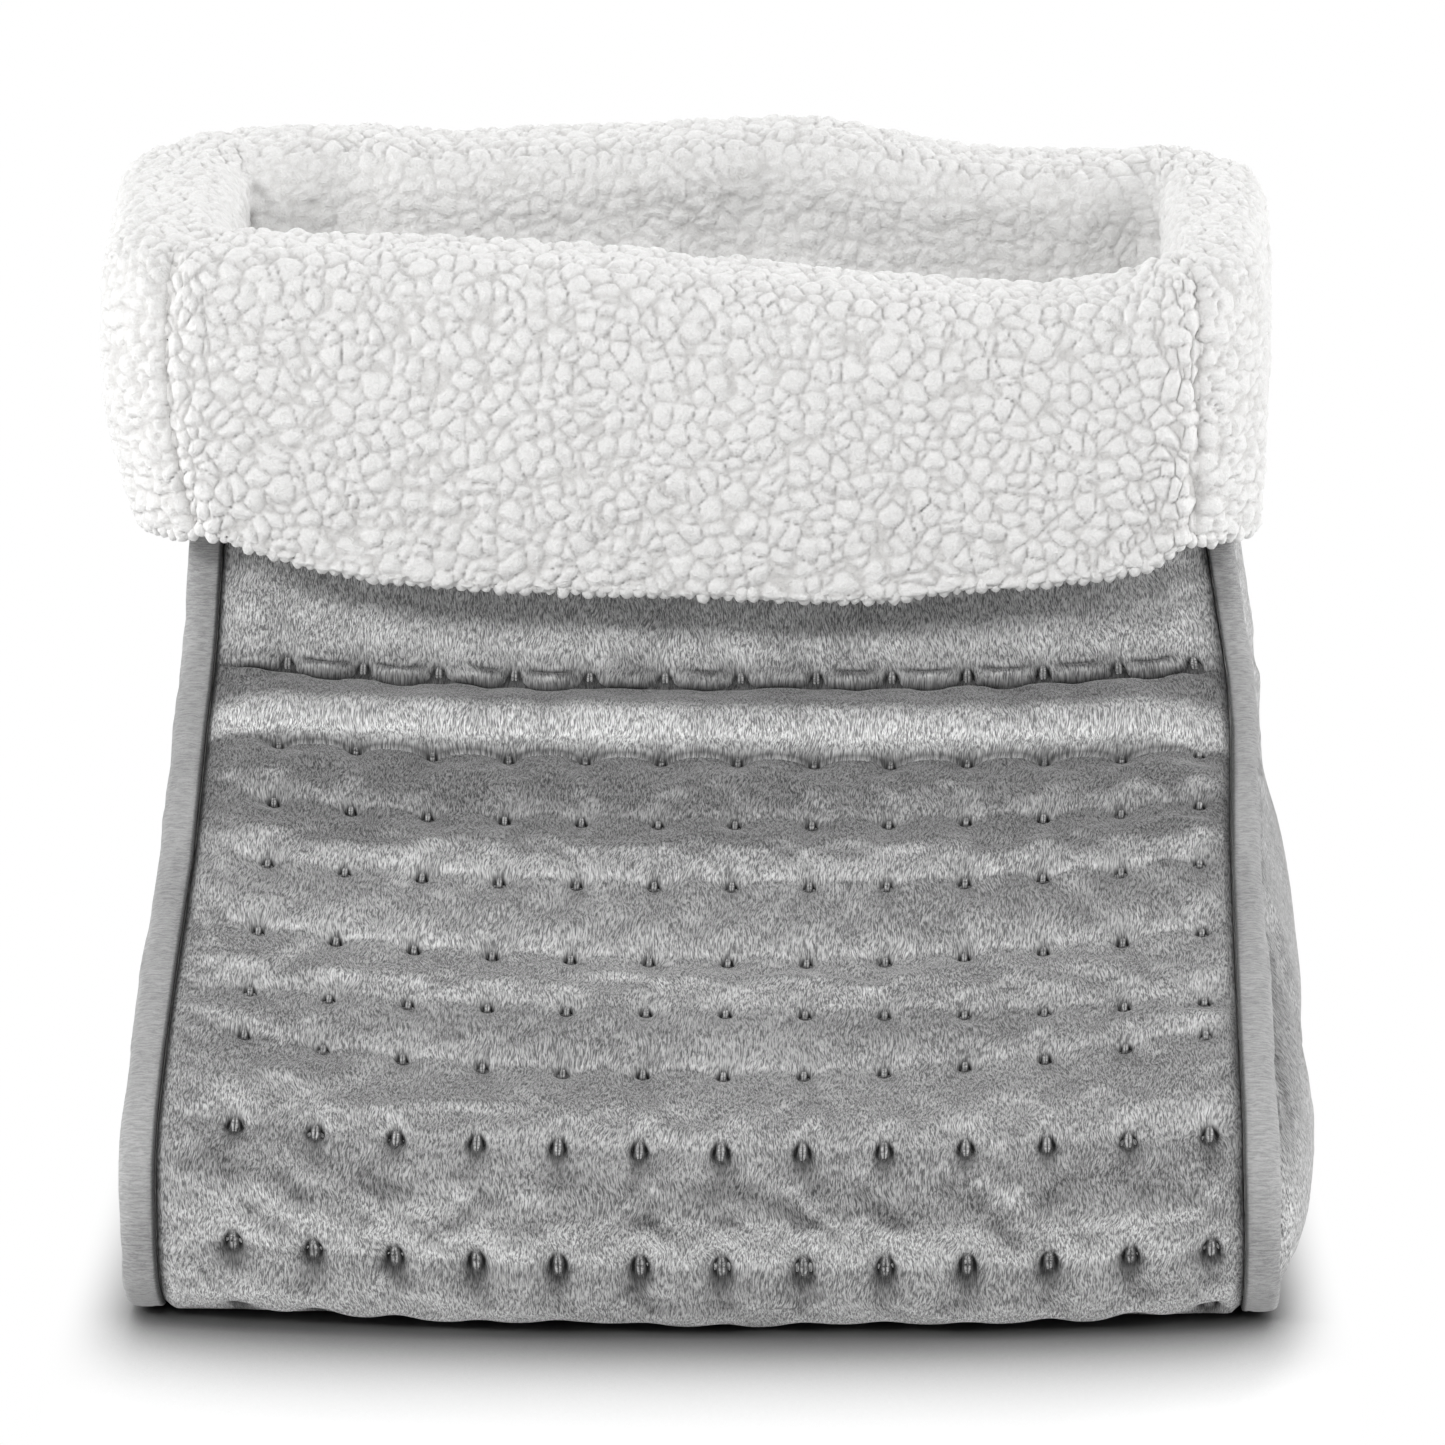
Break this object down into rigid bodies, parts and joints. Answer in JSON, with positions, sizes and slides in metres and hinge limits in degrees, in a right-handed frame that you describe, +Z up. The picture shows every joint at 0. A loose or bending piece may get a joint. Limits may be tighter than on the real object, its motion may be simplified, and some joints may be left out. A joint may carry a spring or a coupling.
{
  "type": "electric foot warmer",
  "caption": "Boot-shaped quilted fabric warmer for both feet with a turned-down fleece cuff, inner heating wire and a supply inlet low on the back.",
  "frame": {"origin": "on the floor under the middle of the bounding box, with the sole's flat underside at z = 0", "axes": "+Z up, the toe faces -Y, the inlet side faces +Y, +X to the viewer's right when looking at the toe"},
  "size_m": [0.319, 0.3416, 0.2605],
  "materials": {
    "plush": "silver-grey short-pile plush, brushed",
    "binding": "grey napped edge binding",
    "sherpa": "white curled sherpa pile",
    "wadding": "polyester wadding",
    "foam": "thin foam sheet",
    "carrier_felt": "non-woven felt",
    "wire_insulation": "white silicone insulation",
    "white_plastic": "matte",
    "dark_plastic": "moulded, fine texture",
    "contact_metal": "nickel-plated"
  },
  "bodies": {
    "root": {"front_panel": "plush", "sole_panel": "plush", "back_panel": "plush", "side_panel_left": "plush", "side_panel_right": "plush", "binding_left": "binding", "binding_right": "binding", "cuff_front": "sherpa", "cuff_right": "sherpa", "cuff_back": "sherpa", "cuff_left": "sherpa", "lining_front": "sherpa", "lining_instep": "sherpa", "lining_sole": "sherpa", "lining_back": "sherpa", "lining_left": "sherpa", "lining_right": "sherpa", "wadding_front": "wadding", "wadding_back": "wadding", "wadding_left": "wadding", "wadding_right": "wadding", "sole_foam": "foam", "heater_carrier": "carrier_felt", "heating_wire": "wire_insulation", "supply_lead": "wire_insulation", "end_splice": "white_plastic", "thermal_cutout": "white_plastic", "inlet_backplate": "white_plastic", "inlet_housing": "dark_plastic", "inlet_pin_1": "contact_metal", "inlet_pin_2": "contact_metal", "inlet_pin_3": "contact_metal"}
  },
  "joints": []
}
